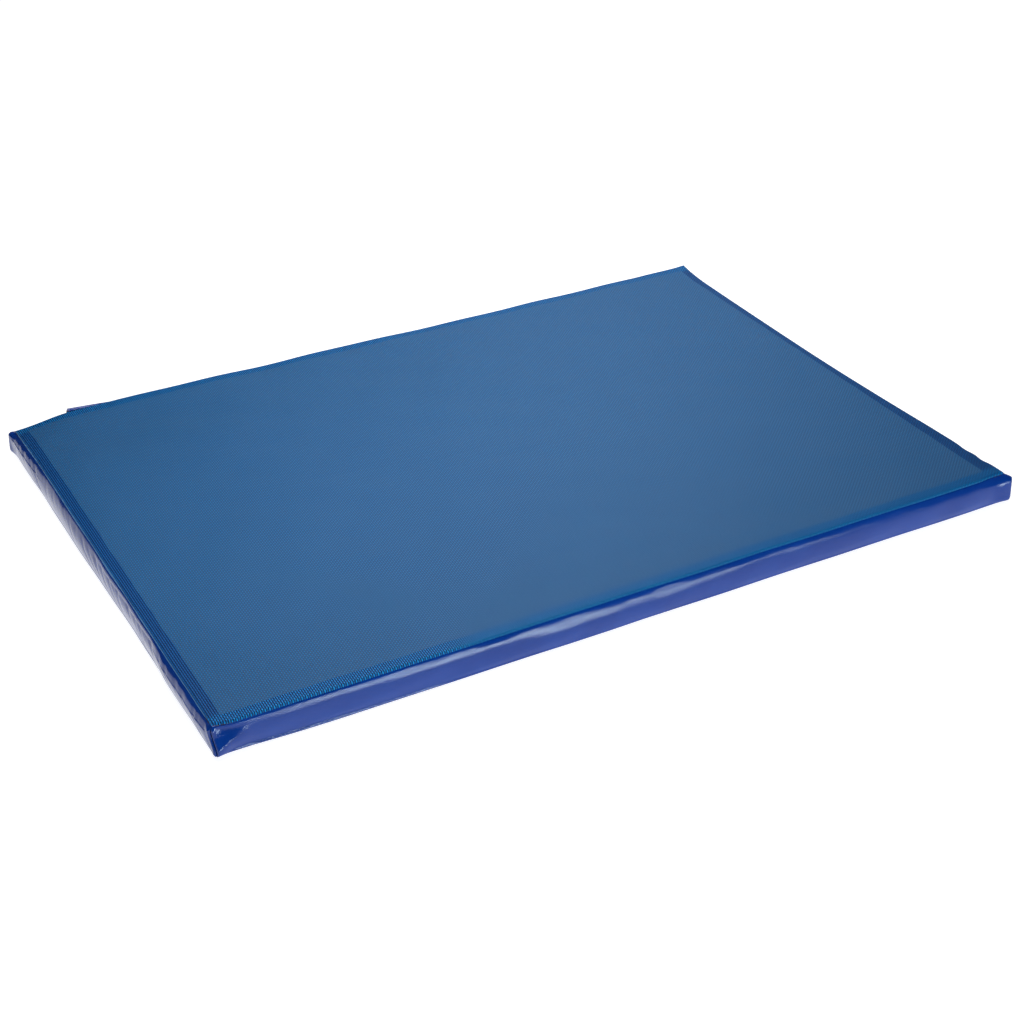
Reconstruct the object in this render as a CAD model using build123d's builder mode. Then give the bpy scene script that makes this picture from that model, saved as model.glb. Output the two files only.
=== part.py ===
"""A flat foam floor mat in a zipped vinyl and mesh cover. Millimetres, +Z up.

The origin is on the floor under the middle of the mat. X runs along its length and -Y is its front. The zip is in the
rear wall, under a flap, and is shown closed: its slider is parked at the left end, just clear of the flap.
"""

import os

from build123d import *

# The mat
LENGTH = 870.0
WIDTH = 600.0
HEIGHT = 34.0
CORNER_RADIUS = 10.0
SHOULDER_RADIUS = 5.5
FOOT_RADIUS = 5.0

# Cover
SHEET = 0.8
MESH_THICKNESS = 0.8
MESH_INSET = 6.0
HEM_WIDTH = 11.0
EAR_LENGTH = 8.0
EAR_GAP = 0.4
EAR_BOTTOM = 2.5
EAR_WIDEST_Z = 7.0
EAR_TOP = 31.0
EAR_ROUNDING = 3.0
THREAD = 0.4
CLEARANCE = 0.1

# Foam
FOAM_LENGTH = 864.0
FOAM_WIDTH = 592.0
FOAM_CLEARANCE = 0.3
FOAM_EDGE_RADIUS = 4.0

# Zip
ZIP_Z = 17.0
ZIP_LEFT = -402.0
ZIP_RIGHT = 362.0
SLOT_HEIGHT = 10.0
TAPE_THICKNESS = 0.6
TAPE_WIDTH = 9.7
TAPE_GAP = 1.6
TAPE_OVERRUN = 6.0
COIL_GAP = 1.0
COIL_WIDTH = 2.5
COIL_DEPTH = 2.2
STOP_LENGTH = 2.2
STOP_GAP = 0.3
ZIP_SEAM_OFFSET = 2.5

# Slider and its pull tab
SLIDER_X = -392.0
SLIDER_LENGTH = 11.0
SLIDER_MOUTH = 9.0
SLIDER_TAIL = 7.0
PLATE = 1.0
FLANGE = 0.8
FLANGE_DEPTH = 1.4
SLIDER_RUNNING_GAP = 0.2
BACK_PLATE_GAP = 0.6
POST_LENGTH = 4.0
POST_THICKNESS = 0.8
BAIL_LENGTH = 8.0
BAIL_WIDTH = 1.6
BAIL_BAR = 0.8
BAIL_CLEAR = 1.6
TAB_BAR = 1.2
TAB_ARM = 1.0
TAB_ARM_REACH = 6.0
TAB_YOKE_WIDTH = 5.2
TAB_LENGTH = 18.0
TAB_WIDTH = 7.0
TAB_HOLE_RADIUS = 1.4

# Flap over the zip
FLAP_LENGTH = 738.0
FLAP_BOTTOM = 4.0
FLAP_RISE = 0.6
FLAP_STAND_OFF = 0.6

# Worked out from the sizes above
RIM_Z = HEIGHT - MESH_THICKNESS
MESH_LENGTH = LENGTH - 2 * MESH_INSET
MESH_WIDTH = WIDTH - 2 * MESH_INSET
MESH_RADIUS = CORNER_RADIUS - SHOULDER_RADIUS
REAR_Y = WIDTH / 2
ZIP_LENGTH = ZIP_RIGHT - ZIP_LEFT
ZIP_MID = (ZIP_LEFT + ZIP_RIGHT) / 2
SLOT_BOTTOM = ZIP_Z - SLOT_HEIGHT / 2
SLOT_TOP = ZIP_Z + SLOT_HEIGHT / 2
TAPE_FRONT = REAR_Y - SHEET - CLEARANCE
COIL_BACK = REAR_Y - SHEET
COIL_FRONT = COIL_BACK + COIL_DEPTH
COIL_LEFT = ZIP_LEFT + STOP_LENGTH + 2 * STOP_GAP
COIL_RIGHT = ZIP_RIGHT - STOP_LENGTH - 2 * STOP_GAP
FRONT_PLATE_Y = COIL_FRONT + SLIDER_RUNNING_GAP
BACK_PLATE_Y = TAPE_FRONT - TAPE_THICKNESS - BACK_PLATE_GAP
TAB_AXIS_Y = FRONT_PLATE_Y + PLATE + BAIL_CLEAR / 2
BAIL_TOP_Y = FRONT_PLATE_Y + PLATE + BAIL_CLEAR + BAIL_BAR
FLAP_HINGE_Y = MESH_WIDTH / 2
FLAP_HINGE_Z = HEIGHT + FLAP_RISE
FLAP_Y = BAIL_TOP_Y + FLAP_STAND_OFF + SHEET / 2
CORNERS = [(-1, -1), (1, -1), (-1, 1), (1, 1)]
CORNER_NAMES = ["front_left", "front_right", "rear_left", "rear_right"]

os.makedirs("parts", exist_ok=True)


def export(builder, name):
    """Labels a finished piece and writes its STEP file."""
    builder.part.label = name
    export_step(builder.part, f"parts/{name}.step")


def corner_plane(side_x, side_y):
    """The upright plane along a corner's diagonal: x runs outward from the centre of the corner's arc, y is up."""
    centre = (side_x * (LENGTH / 2 - CORNER_RADIUS), side_y * (WIDTH / 2 - CORNER_RADIUS), 0)
    return Plane(origin=centre, x_dir=(side_x, side_y, 0), z_dir=(side_y, -side_x, 0))


def ear_reach(vertex):
    """How far a point lies from the middle of the mat."""
    return abs(vertex.X) + abs(vertex.Y)


# Foam slab, its edges rounded by the pull of the cover
with BuildPart() as foam_core:
    with BuildSketch(Plane.XY.offset(SHEET + FOAM_CLEARANCE)):
        RectangleRounded(FOAM_LENGTH, FOAM_WIDTH, CORNER_RADIUS)
    extrude(amount=RIM_Z - 2 * SHEET - 2 * FOAM_CLEARANCE)
    fillet(foam_core.faces().sort_by(Axis.Z)[-1].edges(), FOAM_EDGE_RADIUS)
    fillet(foam_core.faces().sort_by(Axis.Z)[0].edges(), FOAM_EDGE_RADIUS)
export(foam_core, "foam_core")

# Mesh panel, sewn to the vinyl round its edge
with BuildPart() as mesh_top:
    with BuildSketch(Plane.XY.offset(RIM_Z)):
        RectangleRounded(MESH_LENGTH, MESH_WIDTH, MESH_RADIUS)
    extrude(amount=MESH_THICKNESS)
export(mesh_top, "mesh_top")

# The hollow of the vinyl cover
with BuildPart() as hollow:
    with BuildSketch(Plane.XY.offset(SHEET)):
        RectangleRounded(LENGTH - 2 * SHEET, WIDTH - 2 * SHEET, CORNER_RADIUS - SHEET)
    extrude(amount=RIM_Z - 2 * SHEET)
    fillet(hollow.faces().sort_by(Axis.Z)[-1].edges(), SHOULDER_RADIUS - SHEET)
    fillet(hollow.faces().sort_by(Axis.Z)[0].edges(), FOOT_RADIUS - SHEET)

# The whole vinyl shell: floor, walls, rounded shoulder and the hem turned in under the mesh
with BuildPart() as vinyl_shell:
    with BuildSketch():
        RectangleRounded(LENGTH, WIDTH, CORNER_RADIUS)
    extrude(amount=RIM_Z)
    fillet(vinyl_shell.faces().sort_by(Axis.Z)[-1].edges(), SHOULDER_RADIUS)
    fillet(vinyl_shell.faces().sort_by(Axis.Z)[0].edges(), FOOT_RADIUS)
    add(hollow.part, mode=Mode.SUBTRACT)
    with BuildSketch(Plane.XY.offset(RIM_Z)):
        RectangleRounded(MESH_LENGTH - 2 * HEM_WIDTH, MESH_WIDTH - 2 * HEM_WIDTH, MESH_RADIUS / 2)
    extrude(amount=-2 * SHEET, mode=Mode.SUBTRACT)

# Tray: the shell without the stretch of rear wall above the zip's slot. Each corner is pinched into a two-lipped ear,
# flush at the top and widest near the floor.
with BuildPart() as base_tray:
    add(vinyl_shell.part)
    with BuildSketch(Plane.XY.offset(SLOT_BOTTOM)):
        with Locations((ZIP_MID, REAR_Y)):
            Rectangle(ZIP_LENGTH, 2 * (MESH_INSET + HEM_WIDTH + CLEARANCE))
    extrude(amount=HEIGHT, mode=Mode.SUBTRACT)
    for side_x, side_y in CORNERS:
        with BuildSketch(corner_plane(side_x, side_y)):
            with BuildLine():
                Polyline(
                    (CORNER_RADIUS - SHEET, EAR_TOP),
                    (CORNER_RADIUS + EAR_LENGTH, EAR_WIDEST_Z),
                    (CORNER_RADIUS + EAR_LENGTH, EAR_BOTTOM),
                    (CORNER_RADIUS - SHEET, EAR_BOTTOM),
                    close=True,
                )
            make_face()
            fillet(vertices().group_by(Axis.Z)[0].sort_by(ear_reach)[-1], EAR_ROUNDING)
        extrude(amount=EAR_GAP / 2 + SHEET, both=True)
        with BuildSketch(corner_plane(side_x, side_y)):
            with Locations((CORNER_RADIUS + EAR_LENGTH, ZIP_Z)):
                Rectangle(2 * EAR_LENGTH - 2 * SHEET, HEIGHT)
        extrude(amount=EAR_GAP / 2, both=True, mode=Mode.SUBTRACT)
export(base_tray, "base_tray")

# Strip of rear wall above the slot, with the shoulder and hem of that stretch
with BuildPart() as rear_upper_strip:
    add(vinyl_shell.part)
    with BuildSketch(Plane.XY.offset(SLOT_TOP)):
        with Locations((ZIP_MID, REAR_Y)):
            Rectangle(ZIP_LENGTH - 2 * CLEARANCE, 2 * (MESH_INSET + HEM_WIDTH + CLEARANCE))
    extrude(amount=HEIGHT, mode=Mode.INTERSECT)
export(rear_upper_strip, "rear_upper_strip")

# Seam between mesh and vinyl: one loop of thread in the crease beside the mesh's edge
with BuildPart() as top_seam_thread:
    with BuildSketch(Plane.XY.offset(RIM_Z + CLEARANCE)):
        loop_gap = 2 * CLEARANCE
        loop_outer = loop_gap + 2 * THREAD
        RectangleRounded(MESH_LENGTH + loop_outer, MESH_WIDTH + loop_outer, MESH_RADIUS + loop_outer / 2)
        RectangleRounded(
            MESH_LENGTH + loop_gap, MESH_WIDTH + loop_gap, MESH_RADIUS + loop_gap / 2, mode=Mode.SUBTRACT
        )
    extrude(amount=THREAD)
export(top_seam_thread, "top_seam_thread")

# Corner seams: a line of thread along each face of each ear, beside its sloping edge
for (side_x, side_y), corner_name in zip(CORNERS, CORNER_NAMES):
    with BuildPart() as corner_seam_thread:
        for face in (-1, 1):
            thread_back = EAR_GAP / 2 + SHEET + CLEARANCE
            with BuildSketch(corner_plane(side_x, side_y).offset(face * thread_back)):
                with BuildLine():
                    Line(
                        (CORNER_RADIUS + EAR_LENGTH / 4, EAR_TOP - EAR_LENGTH),
                        (CORNER_RADIUS + EAR_LENGTH / 2, EAR_WIDEST_Z),
                    )
                trace(line_width=THREAD)
            extrude(amount=face * THREAD)
    export(corner_seam_thread, f"{corner_name}_seam_thread")

# The two halves of the zip, each a tape, a coil and the thread that sews the tape to the vinyl
for half, name in ((-1, "lower"), (1, "upper")):
    with BuildPart() as zip_tape:
        with BuildSketch(Plane.YZ.offset(ZIP_LEFT - TAPE_OVERRUN)):
            with Locations((TAPE_FRONT - TAPE_THICKNESS / 2, ZIP_Z + half * (TAPE_GAP + TAPE_WIDTH) / 2)):
                Rectangle(TAPE_THICKNESS, TAPE_WIDTH)
        extrude(amount=ZIP_LENGTH + 2 * TAPE_OVERRUN)
    export(zip_tape, f"zip_tape_{name}")

    with BuildPart() as zip_coil:
        with BuildSketch(Plane.YZ.offset(COIL_LEFT)):
            with Locations(((COIL_BACK + COIL_FRONT) / 2, ZIP_Z + half * (COIL_GAP + COIL_WIDTH) / 2)):
                RectangleRounded(COIL_DEPTH, COIL_WIDTH, COIL_DEPTH / 3)
        extrude(amount=COIL_RIGHT - COIL_LEFT)
    export(zip_coil, f"zip_coil_{name}")

    with BuildPart() as zip_seam_thread:
        with BuildSketch(Plane.YZ.offset(ZIP_LEFT + 2 * STOP_GAP)):
            seam_z = ZIP_Z + half * (SLOT_HEIGHT / 2 + ZIP_SEAM_OFFSET)
            with Locations((REAR_Y + CLEARANCE + THREAD / 2, seam_z)):
                Circle(THREAD / 2)
        extrude(amount=ZIP_LENGTH - 4 * STOP_GAP)
    export(zip_seam_thread, f"zip_seam_thread_{name}")

# Top stops, one on each tape, at the end where the slider closes the zip
with BuildPart() as zip_top_stops:
    with BuildSketch(Plane.XZ.offset(-COIL_BACK)):
        for half in (-1, 1):
            stop_z = ZIP_Z + half * (COIL_GAP + COIL_WIDTH) / 2
            with Locations((COIL_LEFT - STOP_GAP - STOP_LENGTH / 2, stop_z)):
                RectangleRounded(STOP_LENGTH, COIL_WIDTH, THREAD)
    extrude(amount=-COIL_DEPTH)
export(zip_top_stops, "zip_top_stops")

# Bottom stop, one clip across both coils
with BuildPart() as zip_bottom_stop:
    with BuildSketch(Plane.XZ.offset(-COIL_BACK)):
        with Locations((COIL_RIGHT + STOP_GAP + STOP_LENGTH / 2, ZIP_Z)):
            RectangleRounded(STOP_LENGTH, COIL_GAP + 2 * COIL_WIDTH, THREAD)
    extrude(amount=-COIL_DEPTH)
export(zip_bottom_stop, "zip_bottom_stop")

# Slider: plates before and behind the zip on a post between the coils, flanges round the coils and a bail in front
with BuildPart() as zip_slider:
    for plate_back in (FRONT_PLATE_Y, BACK_PLATE_Y - PLATE):
        with BuildSketch(Plane.XZ.offset(-plate_back)):
            with BuildLine():
                Polyline(
                    (SLIDER_X - SLIDER_LENGTH / 2, ZIP_Z - SLIDER_MOUTH / 2),
                    (SLIDER_X, ZIP_Z - SLIDER_MOUTH / 2),
                    (SLIDER_X + SLIDER_LENGTH / 2, ZIP_Z - SLIDER_TAIL / 2),
                    (SLIDER_X + SLIDER_LENGTH / 2, ZIP_Z + SLIDER_TAIL / 2),
                    (SLIDER_X, ZIP_Z + SLIDER_MOUTH / 2),
                    (SLIDER_X - SLIDER_LENGTH / 2, ZIP_Z + SLIDER_MOUTH / 2),
                    close=True,
                )
            make_face()
            fillet(vertices(), PLATE)
        extrude(amount=-PLATE)
    with BuildSketch(Plane.XZ.offset(-(BACK_PLATE_Y - PLATE / 2))):
        with Locations((SLIDER_X, ZIP_Z)):
            Rectangle(POST_LENGTH, POST_THICKNESS)
    extrude(amount=-(FRONT_PLATE_Y - BACK_PLATE_Y + PLATE))
    with BuildSketch(Plane.XZ.offset(-(FRONT_PLATE_Y - FLANGE_DEPTH))):
        for half in (-1, 1):
            with Locations((SLIDER_X - SLIDER_LENGTH / 4, ZIP_Z + half * (SLIDER_MOUTH - FLANGE) / 2)):
                Rectangle(SLIDER_LENGTH / 2 - PLATE, FLANGE)
    extrude(amount=-(FLANGE_DEPTH + PLATE / 2))
    with BuildSketch(Plane.XY.offset(ZIP_Z)):
        bail_foot = FRONT_PLATE_Y + PLATE / 2
        with Locations((SLIDER_X, (bail_foot + BAIL_TOP_Y) / 2)):
            Rectangle(BAIL_LENGTH, BAIL_TOP_Y - bail_foot)
        with Locations((SLIDER_X, TAB_AXIS_Y)):
            Rectangle(BAIL_LENGTH - 2 * BAIL_BAR, BAIL_CLEAR, mode=Mode.SUBTRACT)
    extrude(amount=BAIL_WIDTH / 2, both=True)
export(zip_slider, "zip_slider")

# Pull tab: a bar under the bail, two arms beside it and a plate with a finger hole
with BuildPart() as zip_pull_tab:
    with BuildSketch(Plane.XY.offset(ZIP_Z - TAB_YOKE_WIDTH / 2)):
        with Locations((SLIDER_X, TAB_AXIS_Y)):
            Circle(TAB_BAR / 2)
    extrude(amount=TAB_YOKE_WIDTH)
    with BuildSketch(Plane.XZ.offset(-(TAB_AXIS_Y - TAB_BAR / 2))):
        for half in (-1, 1):
            with Locations((SLIDER_X + TAB_ARM_REACH / 2, ZIP_Z + half * (TAB_YOKE_WIDTH - TAB_ARM) / 2)):
                Rectangle(TAB_ARM_REACH, TAB_ARM)
        plate_length = TAB_LENGTH - TAB_ARM_REACH
        with Locations((SLIDER_X + TAB_ARM_REACH + plate_length / 2, ZIP_Z)):
            RectangleRounded(plate_length, TAB_WIDTH, TAB_WIDTH / 4)
        with Locations((SLIDER_X + TAB_LENGTH - TAB_WIDTH / 2, ZIP_Z)):
            Circle(TAB_HOLE_RADIUS, mode=Mode.SUBTRACT)
    extrude(amount=-TAB_BAR)
export(zip_pull_tab, "zip_pull_tab")

# Flap: hinged at the top seam, over the shoulder and down in front of the zip
with BuildPart() as storm_flap:
    with BuildSketch(Plane.YZ.offset(-FLAP_LENGTH / 2)):
        with BuildLine():
            bend = FLAP_Y - REAR_Y
            top = Line((FLAP_HINGE_Y, FLAP_HINGE_Z), (FLAP_Y - bend, FLAP_HINGE_Z))
            RadiusArc(top @ 1, (FLAP_Y, FLAP_HINGE_Z - bend), bend)
            Line((FLAP_Y, FLAP_HINGE_Z - bend), (FLAP_Y, FLAP_BOTTOM))
        trace(line_width=SHEET)
        with Locations((FLAP_HINGE_Y, FLAP_HINGE_Z)):
            Circle(SHEET / 2)
    extrude(amount=FLAP_LENGTH)
export(storm_flap, "storm_flap")
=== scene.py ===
"""A flat foam floor mat in a zipped vinyl and mesh cover: its looks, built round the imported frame.

Metres, +Z up, in the frame's own axes: X along the mat, -Y to its front, and the zip with its
flap at the rear.
"""

import math
from typing import NamedTuple

import bmesh
import bpy
import numpy as np
from mathutils import Euler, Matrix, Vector


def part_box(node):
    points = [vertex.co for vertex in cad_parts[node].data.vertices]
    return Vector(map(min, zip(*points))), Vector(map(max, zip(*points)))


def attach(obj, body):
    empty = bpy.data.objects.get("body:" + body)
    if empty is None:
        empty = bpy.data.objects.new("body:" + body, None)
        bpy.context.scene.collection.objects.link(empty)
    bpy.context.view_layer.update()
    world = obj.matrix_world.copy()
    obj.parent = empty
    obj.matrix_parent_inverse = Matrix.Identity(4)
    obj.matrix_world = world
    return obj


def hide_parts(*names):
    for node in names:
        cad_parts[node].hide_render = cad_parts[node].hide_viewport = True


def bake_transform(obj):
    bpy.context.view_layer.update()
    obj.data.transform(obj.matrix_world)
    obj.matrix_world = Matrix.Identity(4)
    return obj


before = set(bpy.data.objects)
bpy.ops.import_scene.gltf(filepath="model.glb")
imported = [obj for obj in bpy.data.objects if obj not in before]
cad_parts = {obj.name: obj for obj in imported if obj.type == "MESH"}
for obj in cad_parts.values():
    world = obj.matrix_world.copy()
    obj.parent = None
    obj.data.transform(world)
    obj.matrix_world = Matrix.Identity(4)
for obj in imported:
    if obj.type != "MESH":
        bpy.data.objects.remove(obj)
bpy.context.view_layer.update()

MM = 0.001
INCH = 0.0254

# Places taken from the frame
MESH_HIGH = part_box("mesh_top")[1]
MESH_INSET = 6 * MM  # from the mesh panel's edge out to the walls' plane
TOP = MESH_HIGH.z
HALF_LENGTH = MESH_HIGH.x + MESH_INSET
HALF_WIDTH = MESH_HIGH.y + MESH_INSET
SLOT_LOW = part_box("zip_coil_lower")[0].z - 2 * MM
SLOT_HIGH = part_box("zip_coil_upper")[1].z + 2 * MM
SLOT_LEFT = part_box("rear_upper_strip")[0].x
SLOT_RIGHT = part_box("rear_upper_strip")[1].x
FLAP_LOW, FLAP_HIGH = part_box("storm_flap")

# The cover
VINYL = 0.8 * MM
HEM_WIDTH = 11 * MM
CORNER_ARC = 10 * MM
WEAVE_ALONG = INCH / 12
WEAVE_ACROSS = 1.907 * MM
STITCH_LENGTH = 3.2 * MM
STITCH_PITCH = 4.6 * MM

# The tray's four sides, counted round from the front, and the corner at the start of each
FRONT, RIGHT, REAR, LEFT = range(4)
CORNERS = ((-1, -1), (1, -1), (1, 1), (-1, 1))

# Colour sockets of a mix node, which share their names with its other sockets
MIX_A, MIX_B, MIX_RESULT = 6, 7, 2


class Ear(NamedTuple):
    """A pinched corner. Its reach is along the diagonal, from the centre of the corner's arc."""

    top_reach: float
    foot_reach: float
    full_depth: float  # how far under the top it stands out fully
    flare: float  # the length over which the wall turns out into it
    hollow: float  # the depth of the dent beside it


EARS = {
    (-1, -1): Ear(11.0 * MM, 11.2 * MM, 15.0 * MM, 8.0 * MM, 0.4 * MM),
    (1, -1): Ear(13.6 * MM, 14.4 * MM, 6.5 * MM, 18.0 * MM, 0.4 * MM),
    (-1, 1): Ear(12.8 * MM, 14.6 * MM, 5.5 * MM, 18.0 * MM, 1.6 * MM),
    (1, 1): Ear(12.0 * MM, 15.5 * MM, 9.0 * MM, 18.0 * MM, 1.6 * MM),
}


# ------------------------ small helpers


def smooth(value, low, high):
    """0 below low, 1 above high and a soft step between them."""
    t = np.clip((value - low) / (high - low), 0, 1)
    return t * t * (3 - 2 * t)


def hump(value, centre, width):
    """1 at the centre, falling away to 0 on both sides."""
    return np.exp(-(((value - centre) / width) ** 2))


def ripple(x, y, size, seed):
    """A soft, seeded, wandering surface of about -1 to 1, with humps about size apart."""
    waves = 7
    random = np.random.default_rng(seed)
    total = np.zeros(np.broadcast(x, y).shape)
    for _ in range(waves):
        heading, phase = random.uniform(0, 2 * math.pi, 2)
        length = size * random.uniform(0.7, 1.6)
        along = x * math.cos(heading) + y * math.sin(heading)
        total = total + np.sin(along * 2 * math.pi / length + phase)
    return total / math.sqrt(waves)


def curve_through(points, count):
    """A smooth run of points through the few given ones, with count steps in each span."""
    p = np.array(points, float)
    p = np.vstack([2 * p[0] - p[1], p, 2 * p[-1] - p[-2]])
    run = []
    for a, b, c, d in zip(p, p[1:], p[2:], p[3:]):
        for t in np.linspace(0, 1, count, endpoint=False):
            square, cube = 2 * a - 5 * b + 4 * c - d, 3 * b - a - 3 * c + d
            run.append(0.5 * (2 * b + (c - a) * t + square * t**2 + cube * t**3))
    run.append(p[-2])
    return np.array(run)


def new_object(name, data):
    obj = bpy.data.objects.new(name, data)
    bpy.context.scene.collection.objects.link(obj)
    return obj


def shade_smooth(mesh):
    mesh.polygons.foreach_set("use_smooth", [True] * len(mesh.polygons))
    mesh.update()


def new_mesh(name, vertices, faces):
    mesh = bpy.data.meshes.new(name)
    mesh.from_pydata([tuple(v) for v in vertices], [], [tuple(f) for f in faces])
    shade_smooth(mesh)
    return new_object(name, mesh)


def grid_faces(rows, columns):
    """Quads of a grid whose points run row by row."""
    index = np.arange(rows * columns).reshape(rows, columns)
    corners = [index[:-1, :-1], index[:-1, 1:], index[1:, 1:], index[1:, :-1]]
    return np.stack(corners, axis=-1).reshape(-1, 4)


def weld(obj, distance):
    """Joins points that coincide and drops faces that have collapsed."""
    bm = bmesh.new()
    bm.from_mesh(obj.data)
    bmesh.ops.remove_doubles(bm, verts=bm.verts, dist=distance)
    bmesh.ops.dissolve_degenerate(bm, dist=distance / 4, edges=bm.edges)
    bmesh.ops.recalc_face_normals(bm, faces=bm.faces)
    bm.to_mesh(obj.data)
    bm.free()
    shade_smooth(obj.data)


def apply_modifiers(obj):
    graph = bpy.context.evaluated_depsgraph_get()
    obj.data = bpy.data.meshes.new_from_object(obj.evaluated_get(graph))
    obj.modifiers.clear()


def thicken(obj, thickness, offset=-1.0):
    """Gives a sheet its thickness: behind it, or on both sides alike when the offset is 0."""
    modifier = obj.modifiers.new("thickness", "SOLIDIFY")
    modifier.thickness = thickness
    modifier.offset = offset
    modifier.use_even_offset = False
    apply_modifiers(obj)


def round_edges(obj, width, segments, angle):
    """Rounds the edges that are sharper than an angle in degrees."""
    bevel = obj.modifiers.new("edge", "BEVEL")
    bevel.width = width
    bevel.segments = segments
    bevel.limit_method = "ANGLE"
    bevel.angle_limit = math.radians(angle)
    apply_modifiers(obj)


def finish_piece(obj, body, material, node):
    """Gives a finished piece its material and its body, and hides the CAD node that it stands for.
    """
    obj.data.materials.clear()
    obj.data.materials.append(material)
    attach(obj, body)
    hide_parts(node)


# ------------------------ where the soft cover strays

# Each of the first five functions moves some of its points' coordinates, in place


def press_corners(x, y, z, high):
    """The rear left corner is squashed down, and the rear right one stands up a little."""
    rear = np.clip((MESH_HIGH.y - y) / (110 * MM), 0, 1)
    from_left = np.clip((x + MESH_HIGH.x) / (127 * MM), 0, 1)
    z -= high * 4.6 * MM * (1 - from_left) ** 2 * (1 - rear) ** 2
    from_right = np.clip((MESH_HIGH.x - x) / (90 * MM), 0, 1)
    z += high * 4.2 * MM * (1 - from_right) ** 2 * (1 - np.clip(rear * 2, 0, 1)) ** 2


def pull_right_wall(x, y):
    """The right wall is drawn in along its middle, and pulled out and scalloped by its front."""
    right = smooth(x, HALF_LENGTH - 60 * MM, HALF_LENGTH)
    bow = np.clip(1 - ((y - 60 * MM) / (240 * MM)) ** 2, 0, 1)
    scallops = hump(y, -262 * MM, 9 * MM) + 0.8 * hump(y, -236 * MM, 10 * MM)
    outward = np.clip((-y + 20 * MM) / (HALF_WIDTH - 10 * MM), 0, 1) ** 1.5
    x += right * (7.8 * MM * outward - 2.4 * MM * bow - 2.2 * MM * scallops)


def tuck_in_feet(x, y, z):
    """The feet of the left wall and of the front wall's left end are tucked in."""
    low = smooth(TOP - z, 5 * MM, TOP - 2 * MM)
    toward_front = np.clip((HALF_WIDTH - y) / (2 * HALF_WIDTH), 0, 1)
    left_wall = smooth(-x, HALF_LENGTH - 45 * MM, HALF_LENGTH - 6 * MM)
    near_corner = smooth(-y, 130 * MM, 190 * MM)
    x += low * left_wall * (0.9 + 2.2 * toward_front + 0.5 * near_corner) * MM
    below_top, forward = smooth(TOP - z, 4 * MM, 9 * MM), smooth(-y, -60 * MM, 40 * MM)
    x += left_wall * below_top * 1.6 * MM * forward * (1 - near_corner)
    left_end = np.clip(1 - (x + HALF_LENGTH) / (260 * MM), 0, 1) ** 1.6
    front_wall = smooth(-y, HALF_WIDTH - 45 * MM, HALF_WIDTH - 6 * MM)
    y += low * front_wall * left_end * 1.2 * MM
    # The front left corner is curled up off the floor
    from_corner = np.hypot(x + HALF_LENGTH, y + HALF_WIDTH)
    z += low * np.clip(1 - from_corner / (130 * MM), 0, 1) ** 2 * 3.2 * MM


def draw_in_seam(x, y, z):
    """The seam is drawn in by the front left corner, so that both walls lean back there."""
    beside = np.clip((x + HALF_LENGTH - 6 * MM) / (38 * MM), 0, 1)
    level = np.minimum(z, 30 * MM)
    kink = (9.5 + 18.5 * beside) * MM
    levels = np.array([12, 20, 25.5, 27.7, 30]) * MM
    set_back = np.array([0, 0, 1.6, 2.8, 5.7]) * MM
    plain_section = np.interp(level, levels, set_back)
    drawn = np.maximum(0.48 * np.maximum(level - kink, 0) - plain_section, 0)
    # Under it the front wall bulges a little
    swell = (1.2 + 1.8 * smooth(-level, -27 * MM, -kink - 2 * MM)) * MM
    under_seam = smooth(-level, -27 * MM, -kink + 4 * MM)
    pouch = (1 - beside) * smooth(level, 0, 6 * MM) * swell * under_seam
    # By the right end the seam is drawn in less
    by_right_end = smooth(x, HALF_LENGTH - 34 * MM, HALF_LENGTH - 14 * MM)
    drawn = drawn + 0.30 * by_right_end * (np.clip(level, 24.5 * MM, 29.5 * MM) - 24.5 * MM)
    y += smooth(-y, HALF_WIDTH - 60 * MM, HALF_WIDTH - 8 * MM) * (drawn - pouch)
    lean = smooth(z, 1 * MM, TOP - 7 * MM)
    behind = np.clip(1 - (y + HALF_WIDTH) / (40 * MM), 0, 1) ** 1.3
    x += lean * behind * smooth(-x, HALF_LENGTH - 11 * MM, HALF_LENGTH - 1 * MM) * 4.0 * MM


def wander(x, y, z, high):
    """The rear edge wanders, and the front and left edges do so less."""
    from_end = HALF_LENGTH - np.abs(x)
    rear_edge = smooth(y, HALF_WIDTH - 70 * MM, HALF_WIDTH) * smooth(from_end, 10 * MM, 70 * MM)
    rear_left = smooth(-x, -60 * MM, 120 * MM)
    y += rear_edge * high * (1.2 * MM + 0.8 * MM * ripple(x, 0, 150 * MM, 5))
    z += rear_edge * high * ((2.0 + 1.4 * rear_left) * MM + 0.7 * MM * ripple(x, 0, 95 * MM, 6))
    front_edge = smooth(-y, HALF_WIDTH - 50 * MM, HALF_WIDTH)
    z += front_edge * high * 0.35 * MM * ripple(x, 0, 120 * MM, 7)
    y += front_edge * 0.35 * MM * ripple(x, 0, 160 * MM, 8)
    left_edge = smooth(-x, HALF_LENGTH - 50 * MM, HALF_LENGTH)
    x += left_edge * 0.4 * MM * ripple(y, 0, 110 * MM, 9)
    z += left_edge * high * 0.4 * MM * ripple(y, 0, 90 * MM, 10)


def settle(points):
    """Points of the cover, moved from their true places to where slack and pull have left them."""
    x, y, z = (axis.copy() for axis in np.array(points, float).reshape(-1, 3).T)
    high = smooth(z, TOP - 17 * MM, TOP)
    press_corners(x, y, z, high)
    pull_right_wall(x, y)
    tuck_in_feet(x, y, z)
    draw_in_seam(x, y, z)
    wander(x, y, z, high)
    return np.stack([x, y, z], axis=1)


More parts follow.
